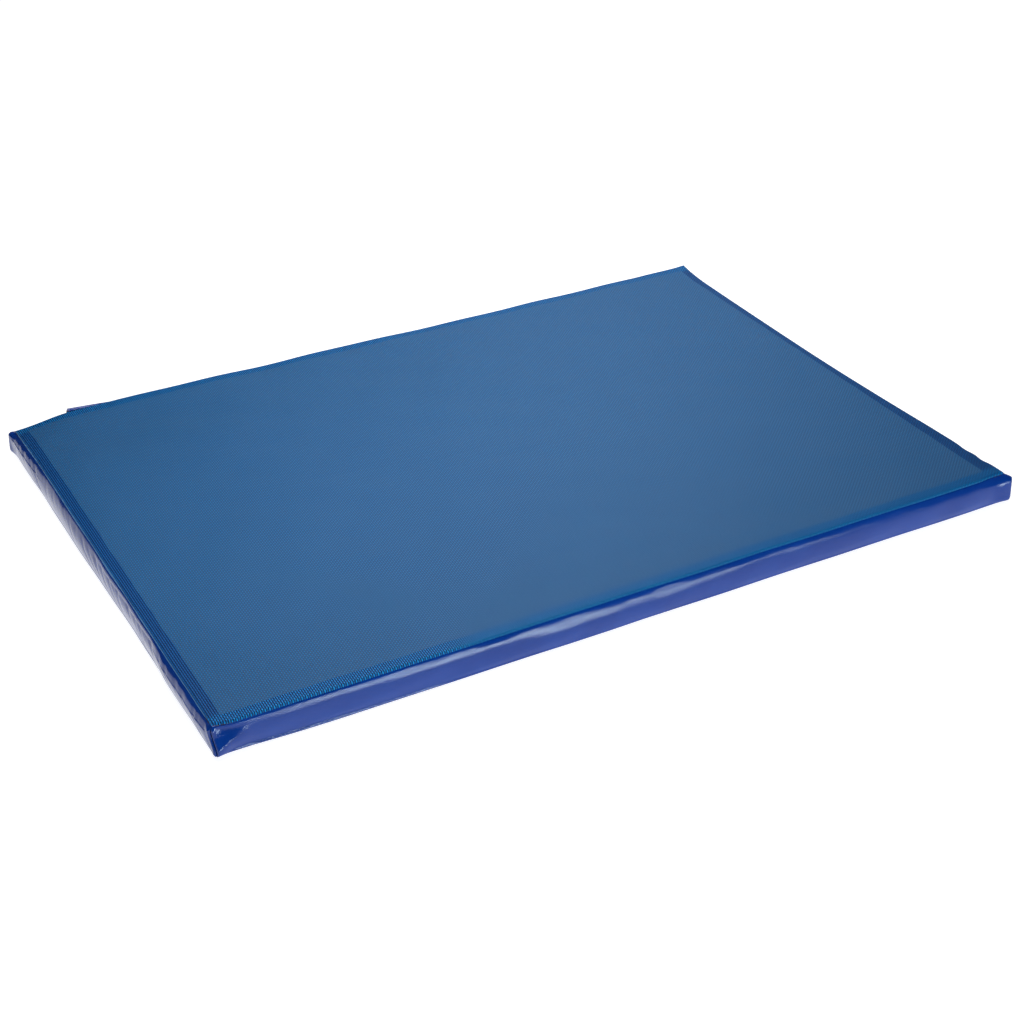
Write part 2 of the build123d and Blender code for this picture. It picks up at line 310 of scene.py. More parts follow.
def top_relief(x, y):
    """Height of the mesh panel over its true plane: uneven foam and faint lengthwise creases."""
    creases, crease_depth = 16, 0.16 * MM
    inner = smooth(np.minimum(MESH_HIGH.x - np.abs(x), MESH_HIGH.y - np.abs(y)), 2 * MM, 40 * MM)
    height = inner * (0.55 * MM * ripple(x, y, 210 * MM, 1) + 0.22 * MM * ripple(x, y, 70 * MM, 2))
    random = np.random.default_rng(3)
    for _ in range(creases):
        cx = random.uniform(-0.8, 0.8) * MESH_HIGH.x
        cy = random.uniform(-0.85, 0.85) * MESH_HIGH.y
        length, width = random.uniform(50, 150) * MM, random.uniform(4, 7) * MM
        tilt = random.uniform(-0.09, 0.09)
        across = (y - cy) - tilt * (x - cx)
        crease = np.exp(-((across / width) ** 2) - (((x - cx) / length) ** 2))
        height = height - inner * crease_depth * crease
    return height


# ------------------------ materials


class Nodes:
    """Short calls for building a node material."""

    def __init__(self, name):
        self.material = bpy.data.materials.new(name)
        self.material.use_nodes = True
        self.tree = self.material.node_tree
        self.shader = self.tree.nodes["Principled BSDF"]

    def add(self, kind, **settings):
        node = self.tree.nodes.new(kind)
        for key, value in settings.items():
            setattr(node, key, value)
        return node

    def feed(self, socket, value):
        if isinstance(value, bpy.types.NodeSocket):
            self.tree.links.new(value, socket)
        else:
            socket.default_value = value

    def math(self, operation, *values):
        node = self.add("ShaderNodeMath", operation=operation)
        for socket, value in zip(node.inputs, values):
            self.feed(socket, value)
        return node.outputs[0]

    def times_plus(self, value, factor, addend):
        return self.math("MULTIPLY_ADD", value, factor, addend)

    def step(self, value, low, high):
        """0 below low, 1 above high and a soft step between them, or falling if low is above."""
        node = self.add("ShaderNodeMapRange", interpolation_type="SMOOTHSTEP")
        self.feed(node.inputs["Value"], value)
        node.inputs["From Min"].default_value = low
        node.inputs["From Max"].default_value = high
        return node.outputs[0]

    def mix(self, factor, a, b, blend="MIX"):
        node = self.add("ShaderNodeMix", data_type="RGBA", blend_type=blend)
        self.feed(node.inputs[0], factor)
        self.feed(node.inputs[MIX_A], a)
        self.feed(node.inputs[MIX_B], b)
        return node.outputs[MIX_RESULT]

    def point(self):
        """The shaded point in the mat's frame, in metres."""
        return self.add("ShaderNodeTexCoord").outputs["Object"]

    def point_xyz(self):
        node = self.add("ShaderNodeSeparateXYZ")
        self.feed(node.inputs[0], self.point())
        return node.outputs

    def noise(self, size, detail=2.0, stretch=(1, 1, 1)):
        mapping = self.add("ShaderNodeMapping")
        self.feed(mapping.inputs[0], self.point())
        mapping.inputs["Scale"].default_value = stretch
        node = self.add("ShaderNodeTexNoise")
        self.feed(node.inputs["Vector"], mapping.outputs[0])
        node.inputs["Scale"].default_value = 1 / size
        node.inputs["Detail"].default_value = detail
        return node.outputs[0]

    def bump(self, height, depth, below=None):
        node = self.add("ShaderNodeBump")
        node.inputs["Distance"].default_value = depth
        self.feed(node.inputs["Height"], height)
        if below is not None:
            self.feed(node.inputs["Normal"], below)
        return node.outputs[0]

    def finish(self, colour, roughness, normal=None, **inputs):
        self.feed(self.shader.inputs["Base Color"], colour)
        self.feed(self.shader.inputs["Roughness"], roughness)
        if normal is not None:
            self.feed(self.shader.inputs["Normal"], normal)
        for key, value in inputs.items():
            self.feed(self.shader.inputs[key.replace("_", " ")], value)
        return self.material


def scrim(n, pitch):
    """The faint woven backing that prints through coated sheet: 0 to 1."""
    x, y, z = n.point_xyz()
    turns = 2 * math.pi / pitch
    along = n.math("SINE", n.math("MULTIPLY", n.math("ADD", x, y), turns))
    slanted = n.math("ADD", z, n.math("MULTIPLY", y, 0.37))
    up = n.math("SINE", n.math("MULTIPLY", slanted, turns))
    return n.times_plus(n.math("MULTIPLY", along, up), 0.5, 0.5)


def vinyl_material():
    n = Nodes("blue vinyl")
    cloud = n.step(n.noise(45 * MM, 3), 0.3, 0.7)
    colour = n.mix(cloud, (0.0020, 0.037, 0.248, 1), (0.0030, 0.045, 0.282, 1))
    x, y, _ = n.point_xyz()
    # The backing prints through the front wall, and most where it is stretched by its left end
    on_front = n.step(y, 20 * MM - HALF_WIDTH, 12 * MM - HALF_WIDTH)
    fine = n.bump(n.noise(0.9 * MM, 3), 0.02 * MM)
    shown = n.math("MAXIMUM", on_front, 0.2)
    backing = n.bump(n.math("MULTIPLY", scrim(n, 1.5 * MM), shown), 0.05 * MM, fine)
    by_left_end = n.step(x, 150 * MM - HALF_LENGTH, 60 * MM - HALF_LENGTH)
    stretched = n.math("MULTIPLY", on_front, by_left_end)
    printed = n.bump(n.math("MULTIPLY", scrim(n, 2.6 * MM), stretched), 0.04 * MM, backing)
    dents = n.bump(n.noise(18 * MM, 2), 0.15 * MM, printed)
    rough = n.times_plus(n.noise(22 * MM, 3), 0.08, 0.10)
    return n.finish(colour, rough, dents, Specular_IOR_Level=0.36)


def weave_material():
    """Coated plain-weave mesh: bright blue threads, with navy hem or grey foam in the holes, and
    with painted shade and highlights.
    """
    n = Nodes("coated mesh")
    x, y, _ = n.point_xyz()
    along = n.math("DIVIDE", x, WEAVE_ALONG)
    across = n.math("DIVIDE", y, WEAVE_ACROSS)
    warp = n.math("PINGPONG", along, 0.5)
    weft = n.math("PINGPONG", across, 0.5)
    # 0 in the middle of a thread, 1 in the middle of a gap
    warp_gap = n.math("MULTIPLY", warp, 2.0)
    weft_gap = n.math("MULTIPLY", weft, 2.0)
    warp_thread = n.step(warp_gap, 0.68, 0.50)
    weft_thread = n.step(weft_gap, 0.66, 0.48)
    thread = n.math("MAXIMUM", warp_thread, weft_thread)
    # Over and under: one thread of each crossing is the higher
    turn_x = n.math("COSINE", n.math("MULTIPLY", along, math.pi))
    turn_y = n.math("COSINE", n.math("MULTIPLY", across, math.pi))
    over = n.math("MULTIPLY", turn_x, turn_y)
    warp_round = n.math("SUBTRACT", 1.0, n.math("POWER", warp_gap, 2.0))
    weft_round = n.math("SUBTRACT", 1.0, n.math("POWER", weft_gap, 2.0))
    warp_height = n.math("MULTIPLY", warp_thread, n.times_plus(over, 0.18, 0.5))
    weft_height = n.math("MULTIPLY", weft_thread, n.times_plus(over, -0.18, 0.5))
    warp_top = n.math("MULTIPLY", warp_height, warp_round)
    weft_top = n.math("MULTIPLY", weft_height, weft_round)
    height = n.math("MAXIMUM", warp_top, weft_top)
    # The hem: a navy layer right under the mesh along its edges
    edge_x = n.math("SUBTRACT", MESH_HIGH.x, n.math("ABSOLUTE", x))
    edge_y = n.math("SUBTRACT", MESH_HIGH.y, n.math("ABSOLUTE", y))
    wander = n.times_plus(n.noise(30 * MM, 1), 3 * MM, -1.5 * MM)
    edge = n.math("ADD", n.math("MINIMUM", edge_x, edge_y), wander)
    hem = n.step(edge, HEM_WIDTH + 1.6 * MM, HEM_WIDTH)
    # Painted highlights: a bright line where the mesh rolls over its front edge, and a paler one
    # along its left edge
    front_rim_highlight = n.step(n.math("ADD", y, MESH_HIGH.y), 2.6 * MM, 1.6 * MM)
    left_rim_highlight = n.step(n.math("ADD", x, MESH_HIGH.x), 0.8 * MM, 0.4 * MM)
    # Painted shade in the holes: the foam seen through them is darker than the foam itself, and over
    # the hem they are near black, far darker than the navy vinyl
    foam = n.mix(n.noise(3 * MM, 3), (0.055, 0.058, 0.064, 1), (0.100, 0.104, 0.112, 1))
    gap = n.mix(hem, foam, (0.0005, 0.003, 0.020, 1))
    tint = n.noise(60 * MM, 3)
    plain = n.mix(tint, (0.018, 0.185, 0.440, 1), (0.024, 0.205, 0.475, 1))
    # Painted highlight: the hem's threads along the front are made much brighter than those along
    # the other edges
    front_hem_highlight = n.step(edge_y, HEM_WIDTH + 6 * MM, HEM_WIDTH)
    hem_face_lit_at_front = n.mix(front_hem_highlight, (0.001, 0.120, 0.400, 1), (0.001, 0.250, 0.680, 1))
    upper_face = n.mix(hem, plain, hem_face_lit_at_front)
    highlighted_face = n.mix(front_rim_highlight, upper_face, (0.004, 0.300, 0.72, 1))
    # Painted shade: each thread is darkened where it dips under the other, and the lower threads are
    # a darker copy of the upper ones, near black over the hem
    upper = n.mix(n.step(warp_top, 0.15, 0.7), (0.002, 0.050, 0.190, 1), highlighted_face)
    shaded_lower_face = n.mix(hem, (0.014, 0.120, 0.290, 1), (0.0005, 0.022, 0.100, 1))
    lower = n.mix(n.step(weft_top, 0.1, 0.6), (0.003, 0.040, 0.130, 1), shaded_lower_face)
    cloth = n.mix(warp_thread, n.mix(weft_thread, gap, lower), upper)
    colour = n.mix(left_rim_highlight, cloth, (0.080, 0.260, 0.540, 1))
    rough = n.mix(thread, (0.9, 0.9, 0.9, 1), (0.55, 0.55, 0.55, 1))
    grain = n.bump(n.noise(0.5 * MM, 2), 0.02 * MM)
    normal = n.bump(height, 0.35 * MM, grain)
    return n.finish(colour, rough, normal, Specular_IOR_Level=0.15)


def foam_material():
    n = Nodes("grey foam")
    cells = n.add("ShaderNodeTexVoronoi", feature="SMOOTH_F1")
    n.feed(cells.inputs["Vector"], n.point())
    cells.inputs["Scale"].default_value = 1 / (1.6 * MM)
    # Painted shade: the pores are coloured darker than the cell walls around them
    pore = n.step(cells.outputs[0], 0.25, 0.55)
    colour = n.mix(pore, (0.055, 0.058, 0.062, 1), (0.21, 0.215, 0.22, 1))
    cloud = n.mix(n.noise(40 * MM, 3), (0.85, 0.85, 0.85, 1), (1.0, 1.0, 1.0, 1))
    clouded = n.mix(1.0, colour, cloud, "MULTIPLY")
    return n.finish(clouded, 0.95, n.bump(pore, 0.6 * MM), Specular_IOR_Level=0.1)


def thread_material(name, dark, light):
    n = Nodes(name)
    ply = 0.5 * MM
    x, y, z = n.point_xyz()
    lay = n.math("ADD", n.math("ADD", x, y), n.math("MULTIPLY", z, 1.7))
    twist = n.math("SINE", n.math("MULTIPLY", lay, 2 * math.pi / ply))
    # Painted shade: the thread is darker in the grooves between its plies, where the bump is low
    turn = n.step(twist, -0.8, 0.8)
    return n.finish(n.mix(turn, dark, light), 0.7, n.bump(turn, 0.06 * MM), Specular_IOR_Level=0.3)


def tape_material():
    n = Nodes("zip tape")
    rib_width, row_width = 0.9 * MM, 0.7 * MM
    x, _, z = n.point_xyz()
    rib = n.math("SINE", n.math("MULTIPLY", z, 2 * math.pi / rib_width))
    row = n.math("SINE", n.math("MULTIPLY", x, 2 * math.pi / row_width))
    # Painted shade: the knit is darker in its hollows, where its bump is low
    knit = n.step(n.math("MULTIPLY", rib, row), -0.7, 0.7)
    colour = n.mix(knit, (0.004, 0.009, 0.035, 1), (0.014, 0.030, 0.095, 1))
    return n.finish(colour, 0.85, n.bump(knit, 0.12 * MM), Sheen_Weight=0.2)


def coil_material():
    n = Nodes("zip coil")
    colour = n.mix(n.noise(4 * MM, 2), (0.010, 0.020, 0.070, 1), (0.018, 0.034, 0.105, 1))
    return n.finish(colour, 0.38, n.bump(n.noise(0.6 * MM, 2), 0.02 * MM))


def metal_material():
    n = Nodes("zip metal")
    streak = n.noise(1.2 * MM, 3, (1, 1, 0.2))
    wear = n.step(n.noise(3.5 * MM, 3), 0.35, 0.7)
    colour = n.mix(wear, (0.36, 0.37, 0.39, 1), (0.56, 0.57, 0.58, 1))
    rough = n.times_plus(streak, 0.25, 0.18)
    return n.finish(colour, rough, n.bump(streak, 0.02 * MM), Metallic=1.0)


# ------------------------ the vinyl tray

# The wall's section, from the hem's inner edge up into the seam, over the shoulder and down to
# the floor: how far it stands out of the wall's plane, and its height
SECTION = [
    (-MESH_INSET - HEM_WIDTH, TOP - 2.3 * MM),
    (-MESH_INSET - 2 * MM, TOP - 2.5 * MM),
    (-MESH_INSET + 0.3 * MM, TOP - 3.2 * MM),
    (-5.0 * MM, TOP - 3.8 * MM),
    (-4.0 * MM, TOP - 4.8 * MM),
    (-2.8 * MM, TOP - 6.3 * MM),
    (-1.6 * MM, TOP - 8.5 * MM),
    (-0.6 * MM, TOP - 11.0 * MM),
    (0.0, SLOT_HIGH),
    (0.3 * MM, (SLOT_HIGH + SLOT_LOW) / 2),
    (0.2 * MM, SLOT_LOW),
    (0.0, 7 * MM),
    (-0.7 * MM, 3.4 * MM),
    (-2.6 * MM, 1.0 * MM),
    (-6.0 * MM, 0.1 * MM),
    (-14 * MM, 0.0),
    (-60 * MM, 0.0),
    (-150 * MM, 0.0),
    (-HALF_WIDTH, 0.0),
]
SECTION_STEPS = 3
LIP_STEPS = 7
FLARE_STEPS = 14
SHOULDER_DEPTH = 3.2 * MM  # how far under the top a wall's own lean starts
SHOULDER_STAND = -5.7 * MM  # where it starts, out of the wall's plane
FOOT_HEIGHT = 3.4 * MM  # where it ends over the floor


def ear_reach(ear, stand, z):
    """How far along the corner's diagonal the sheet reaches at one level of the section."""
    mitre = (stand + CORNER_ARC) * math.sqrt(2)
    down = smooth(TOP - 5 * MM - z, 0, TOP - 10 * MM)
    wall = ear.top_reach + (ear.foot_reach - ear.top_reach) * down
    spread = max(0.0, ear.foot_reach - CORNER_ARC * math.sqrt(2)) * smooth(stand, -5 * MM, 0)
    fin = 3.4 * MM * smooth(TOP - z, 3.2 * MM, ear.full_depth)
    return min(wall, mitre + (spread if z < TOP / 2 else fin))


def lip_radius(stand, z):
    """The roll of the sheet where two walls meet: widest on the wall, gone by hem and floor."""
    upper = smooth(TOP - z, 2.8 * MM, 8 * MM)
    lower = smooth(z, 0.3 * MM, 4 * MM)
    return (0.15 + 1.85 * upper * lower) * MM if stand > -7 * MM else 0.02 * MM


def corner_path(ear, stand, z):
    """One end of a wall at one level, from its straight part into the lip: how far along, out."""
    gap = 0.1 * MM
    reach = ear_reach(ear, stand, z)
    radius = lip_radius(stand, z)
    diagonal = np.array([1, 1]) / math.sqrt(2)
    normal = np.array([-1, 1]) / math.sqrt(2)
    arc = np.array([0, CORNER_ARC])
    centre = diagonal * (reach - radius) + normal * (radius + gap) - arc
    lift = smooth(TOP - z, 4 * MM, TOP) * smooth(z, 0.5 * MM, 6 * MM)
    flare = ear.flare * (0.45 + 0.55 * lift)
    start = np.array([-flare, stand])
    landing = centre + radius * np.array([0.0, 1.0])
    path = []
    # The wall turns out in an S-curve, less the hollow, which is deepest where t * t * (1 - t)
    # reaches its peak of 4 / 27
    dip = ear.hollow * lift
    for t in np.linspace(0, 1, FLARE_STEPS, endpoint=False):
        ease = t * t * (3 - 2 * t)
        hollow = dip * (t * t * (1 - t)) * 27 / 4
        along = start[0] + (landing[0] - start[0]) * t
        path.append((along, start[1] + (landing[1] - start[1]) * ease - hollow))
    for angle in np.radians(np.linspace(90, -45, LIP_STEPS)):
        path.append(tuple(centre + radius * np.array([math.cos(angle), math.sin(angle)])))
    depth = 2.2 * MM * min(1.0, radius / MM)
    path.append(tuple(diagonal * (reach - radius - depth / 2) + normal * gap - arc))
    path.append(tuple(diagonal * (reach - radius - depth) - arc))
    return np.array(path)


def leaning_profile(tilts, depth):
    """How far out a wall stands at each depth under the top, from its tilt at a few depths.

    A tilt is a pair: a depth in mm, and the wall's angle off upright there, in degrees.
    """
    depths = np.linspace(SHOULDER_DEPTH, TOP - FOOT_HEIGHT, 80)
    angles = np.interp(depths, [d * MM for d, _ in tilts], [t for _, t in tilts])
    slope = np.tan(np.radians(angles))
    run = np.concatenate([[0], np.cumsum((slope[1:] + slope[:-1]) / 2 * np.diff(depths))])
    return SHOULDER_STAND + np.interp(depth, depths, run)


def front_tilts(bend):
    """Tilts of the front wall when its shoulder ends at the given depth, in mm."""
    shoulder = [(3.2, 60), (3.9, 38), (bend - 1.3, 23.6), (bend + 1.3, 19.6)]
    return shoulder + [(bend + 3.3, 14), (bend + 6, 7), (23, -4), (27, -11), (31, -17)]


LEFT_TILTS = [
    (3.2, 44),
    (4.0, 35),
    (5.0, 31),
    (7.0, 25),
    (10.0, 17),
    (14.0, 9),
    (18.0, 2),
    (24.0, -3),
    (28, -9),
    (31, -14),
]


def fullness(side, along, stand, z):
    """How far a wall strays from the plain section. The rear wall, with the zip, does not."""
    depth = TOP - z
    if side == RIGHT:
        belly = 1.2 * MM * smooth(depth, 2 * MM, 17 * MM) * smooth(z, 0, 11 * MM)
        return np.full_like(along, belly)
    if side == REAR or depth < SHOULDER_DEPTH:
        return np.zeros_like(along)
    if side == FRONT:
        # The depth at which the shoulder ends, in mm, at places along the mat
        spots = np.array([-0.43, -0.35, -0.20, -0.12, -0.04, 0.02, 0.07, 0.155, 0.25, 0.35, 0.43])
        bends = np.array([4.8, 4.8, 7.2, 8.8, 9.9, 9.4, 8.0, 9.0, 8.9, 8.7, 8.5])
        bend = np.interp(along, spots, bends) + 0.35 * ripple(along, 0, 60 * MM, 61)
        early, late = 5.2, 11.0
        high = leaning_profile(front_tilts(early), depth)
        low = leaning_profile(front_tilts(late), depth)
        target = high + (low - high) * np.clip((bend - early) / (late - early), 0, 1)
    else:
        # Along here runs from the rear to the front
        middle = smooth(along, -225 * MM, -165 * MM) * smooth(-along, -190 * MM, -130 * MM)
        target = stand + (leaning_profile(LEFT_TILTS, depth) - stand) * middle
    foot = smooth(z, 0.2 * MM, FOOT_HEIGHT)
    return (target - stand) * foot


def wall_folds(side, along, z, half):
    """How far a wall's folds stand out: soft slanted fingers on the left wall, calmer elsewhere."""
    fade = smooth(TOP - z, 2.5 * MM, 7 * MM) * smooth(z, 1.0 * MM, 7 * MM)
    out = fade * 0.20 * MM * ripple(along, z * 2.5, 70 * MM, 20 + side)
    strength = {FRONT: 0.12, RIGHT: 0.45, REAR: 0.45, LEFT: 0.55}[side]
    slants, spacing = ((0.3, 1.3), 0.6) if side == LEFT else ((-0.55, 0.55), 1.0)
    drop = (TOP - z) / TOP
    random = np.random.default_rng(40 + side)
    spot = -half + 12 * MM
    while spot < half - 12 * MM:
        width = random.uniform(3.0, 6.0) * MM * spacing
        depth = random.uniform(0.5, 1.5) * MM * strength
        slant = random.uniform(*slants)
        reach = random.uniform(0.35, 0.9)
        across = hump(along - spot, slant * (TOP - z), width)
        down = smooth(drop, 0.05, 0.3)
        out = out - depth * (across * down * smooth(reach - drop, -0.15, 0.25))
        spot += random.uniform(14, 46) * MM * spacing
    return out * fade


def tray_side(side):
    """One wall with its share of the hem and the floor, as rows of points from hem to floor."""
    turn = side * math.pi / 2
    cosine, sine = round(math.cos(turn)), round(math.sin(turn))
    half, reach_out = HALF_LENGTH, HALF_WIDTH
    if side in (RIGHT, LEFT):
        half, reach_out = HALF_WIDTH, HALF_LENGTH
    # In a wall's own view, from outside, "first" is its left end and "last" its right end
    first_ear, last_ear = EARS[CORNERS[side]], EARS[CORNERS[(side + 1) % 4]]
    spacing = 3 * MM
    columns = 2 * round((half - 30 * MM) / spacing) + 1
    arc = half - CORNER_ARC
    rows = []
    for stand, z in curve_through(SECTION, SECTION_STEPS):
        first = corner_path(first_ear, stand, z)
        last = corner_path(last_ear, stand, z)
        left = np.stack([-(arc + first[::-1, 0]), first[::-1, 1]], axis=1)
        right = np.stack([arc + last[:, 0], last[:, 1]], axis=1)
        # Well in from the wall, in the hem and the floor, the sides meet on the diagonal
        if stand < -14 * MM:
            left = np.tile([-(half + stand), stand], (len(left), 1))
            right = np.tile([half + stand, stand], (len(right), 1))
        middle = np.linspace(left[-1, 0], right[0, 0], columns + 2)[1:-1]
        straight = np.stack([middle, np.full(columns, stand)], axis=1)
        run = np.vstack([left, straight, right])
        along, out = run[:, 0], run[:, 1]
        calm = smooth(half - np.abs(along), 4 * MM, 22 * MM)
        folds = wall_folds(side, along, np.full(len(run), z), half)
        out = out + calm * (folds + fullness(side, along, stand, z))
        x = along * cosine + (reach_out + out) * sine
        y = along * sine - (reach_out + out) * cosine
        rows.append(np.stack([x, y, np.full(len(run), z)], axis=1))
    return np.array(rows)


def slacken(tray):
    """Lets the two end walls go slack, in a cloth run that holds them at seam, foot and corners.

    They grow by 2 percent at the most, and no point moves further than 1.2 mm.
    """
    frames, growth_share, most = 16, 0.02, 1.2 * MM
    count = len(tray.data.vertices)
    before = np.empty(count * 3)
    tray.data.vertices.foreach_get("co", before)
    before = before.reshape(-1, 3)
    x, y, z = before.T
    to_end = HALF_LENGTH - np.abs(x)
    to_side = HALF_WIDTH - np.abs(y)
    on_wall = (to_end < 12 * MM) & (to_side > 10 * MM)
    taken = on_wall & (z > 0.3 * MM) & (z < TOP - 3.4 * MM)
    number = np.full(count, -1)
    number[taken] = np.arange(taken.sum())
    faces = [[number[v] for v in face.vertices] for face in tray.data.polygons]
    sheet = new_mesh("slack_walls", before[taken], [face for face in faces if min(face) >= 0])
    free = smooth(z, 1.5 * MM, 5 * MM) * smooth(TOP - z, 5 * MM, 9 * MM)
    held = 1 - free * smooth(to_side, 16 * MM, 28 * MM)
    growth = np.where(x < 0, 1.0, 0.6)
    for name, weights in (("held", held[taken]), ("growth", growth[taken])):
        group = sheet.vertex_groups.new(name=name)
        for index, weight in enumerate(weights):
            group.add([index], float(weight), "REPLACE")
    settings = sheet.modifiers.new("slack", "CLOTH").settings
    settings.quality = 5
    settings.mass = 0.05
    settings.tension_stiffness = 15
    settings.compression_stiffness = 15
    settings.shear_stiffness = 6
    settings.bending_stiffness = 0.02
    settings.vertex_group_mass = "held"
    settings.vertex_group_shrink = "growth"
    settings.shrink_min = 0.0
    settings.shrink_max = -growth_share
    settings.use_pressure = True
    settings.uniform_pressure_force = 0.4
    settings.effector_weights.gravity = 0
    for frame_number in range(1, frames + 1):
        bpy.context.scene.frame_set(frame_number)
    graph = bpy.context.evaluated_depsgraph_get()
    after = np.empty(len(sheet.data.vertices) * 3)
    sheet.evaluated_get(graph).data.vertices.foreach_get("co", after)
    move = after.reshape(-1, 3) - before[taken]
    length = np.linalg.norm(move, axis=1)
    move *= (most * np.tanh(length / most) / np.maximum(length, 1e-9))[:, None]
    bpy.context.scene.frame_set(1)
    bpy.data.objects.remove(sheet)
    before[taken] += move
    tray.data.vertices.foreach_set("co", before.ravel())
    tray.data.update()


def build_tray(material):
    """The vinyl tray and, cut from it, the strip of its rear wall above the zip."""
    vertices, faces, count = [], [], 0
    for side in (FRONT, RIGHT, REAR, LEFT):
        grid = tray_side(side)
        rows, columns = grid.shape[:2]
        vertices.append(grid.reshape(-1, 3))
        faces.append(grid_faces(rows, columns) + count)
        count += rows * columns
    points = settle(np.vstack(vertices))
    tray = new_mesh("vinyl_tray", points, np.vstack(faces))
    weld(tray, 0.03 * MM)
    slacken(tray)

    # The slot for the zip, and above it the strip that the upper tape is sewn to
    bm = bmesh.new()
    bm.from_mesh(tray.data)
    slot, strip = [], []
    margin = 0.3 * MM
    hem_end = HALF_WIDTH - MESH_INSET - HEM_WIDTH - 2 * MM
    for face in bm.faces:
        c = face.calc_center_median()
        if c.y > hem_end and SLOT_LEFT < c.x < SLOT_RIGHT:
            if SLOT_LOW + margin < c.z < SLOT_HIGH - margin and c.y > HALF_WIDTH - 3 * MM:
                slot.append(face)
            elif c.z >= SLOT_HIGH - margin:
                strip.append(face)
    part = bm.copy()
    keep = {face.index for face in strip}
    rest = [face for face in part.faces if face.index not in keep]
    bmesh.ops.delete(part, geom=rest, context="FACES")
    bmesh.ops.delete(bm, geom=slot + strip, context="FACES")
    bm.to_mesh(tray.data)
    bm.free()
    strip_mesh = bpy.data.meshes.new("rear_strip")
    part.to_mesh(strip_mesh)
    part.free()
    rear = new_object("rear_strip", strip_mesh)
    for obj in (tray, rear):
        thicken(obj, VINYL)
        obj.data.set_sharp_from_angle(angle=math.radians(60))
    finish_piece(tray, "cover", material, "base_tray")
    finish_piece(rear, "cover", material, "rear_upper_strip")


# ------------------------ the mesh panel


def edged_run(half, roll):
    """Steps across the panel: close together over the rolled edge and 4 mm in the middle."""
    close = [0, 0.25, 0.6, 1.0, 1.5, 2.1, 2.8, 4.0, 6.0, 9.0]
    roll_end = 2.8
    outer = np.array([half - c * roll / roll_end for c in close])
    spacing = 4 * MM
    inner = np.arange(0, outer[-1] - spacing / 2, spacing)
    right = np.concatenate([inner[1:], outer[::-1]])
    return np.concatenate([-right[::-1], [0.0], right])


def roll_drop(distance, radius):
    """How far the panel's edge has rolled down at a distance from its outline."""
    d = np.clip(distance, 0, radius)
    return radius - np.sqrt(np.maximum(radius**2 - (radius - d) ** 2, 0))


def build_mesh_panel(material):
    """The woven top: one panel over the foam, rolled down and pulled in along its edges."""
    radius = 2.4 * MM
    xs, ys = edged_run(MESH_HIGH.x, radius), edged_run(MESH_HIGH.y, radius)
    x, y = np.meshgrid(xs, ys)
    from_end, from_side = MESH_HIGH.x - np.abs(x), MESH_HIGH.y - np.abs(y)
    drop = np.maximum(roll_drop(from_end, radius), roll_drop(from_side, radius))
    pull = 0.5 * MM * (1 - smooth(np.minimum(from_end, from_side), 3 * MM, 16 * MM))
    z = TOP - drop - pull + top_relief(x, y)
    points = settle(np.stack([x, y, z], axis=-1).reshape(-1, 3))
    panel = new_mesh("mesh_panel", points, grid_faces(len(ys), len(xs)))
    thicken(panel, 0.55 * MM)
    finish_piece(panel, "cover", material, "mesh_top")


# ------------------------ the foam core


def build_foam(material):
    """The foam slab, with rounded edges, set in a little from the cover and following its top."""
    low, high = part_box("foam_core")
    radius = 4 * MM

    def run(half):
        """Steps across the slab: close together over the rounded edge and 8 mm in the middle."""
        spacing = 8 * MM
        outer = half - radius * (1 - np.cos(np.linspace(0, math.pi / 2, 5)))
        steps = 2 * round(outer[-1] / spacing)
        inner = np.linspace(-outer[-1], outer[-1], steps + 1)
        return np.concatenate([-outer[:-1], inner, outer[:-1][::-1]])

    xs, ys = run(high.x), run(high.y)
    x, y = np.meshgrid(xs, ys)
    edge = np.minimum(high.x - np.abs(x), high.y - np.abs(y))
    rise = radius - roll_drop(edge, radius)
    wave = 0.12 * MM * ripple(x, y, 60 * MM, 31)
    inner = smooth(edge, 0, 25 * MM)
    upper = high.z - 1.2 * MM - radius + rise + inner * (top_relief(x, y) + wave)
    lower = low.z + 0.2 * MM + radius - rise
    inset = 1 - 5 * MM / HALF_WIDTH
    top = settle(np.stack([x * inset, y * inset, upper], axis=-1).reshape(-1, 3))
    bottom = settle(np.stack([x * inset, y * inset, lower], axis=-1).reshape(-1, 3))
    quads = grid_faces(len(ys), len(xs))
    index = np.arange(len(ys) * len(xs)).reshape(len(ys), len(xs))
    ring = np.concatenate([index[0, :-1], index[:-1, -1], index[-1, :0:-1], index[:0:-1, 0]])
    after = np.roll(ring, -1)
    count = len(top)
    sides = np.stack([ring, ring + count, after + count, after], axis=1)
    faces = np.vstack([quads, quads[:, ::-1] + count, sides])
    foam = new_mesh("foam_slab", np.vstack([top, bottom]), faces)
    weld(foam, 0.001 * MM)
    finish_piece(foam, "cover", material, "foam_core")


# ------------------------ stitches


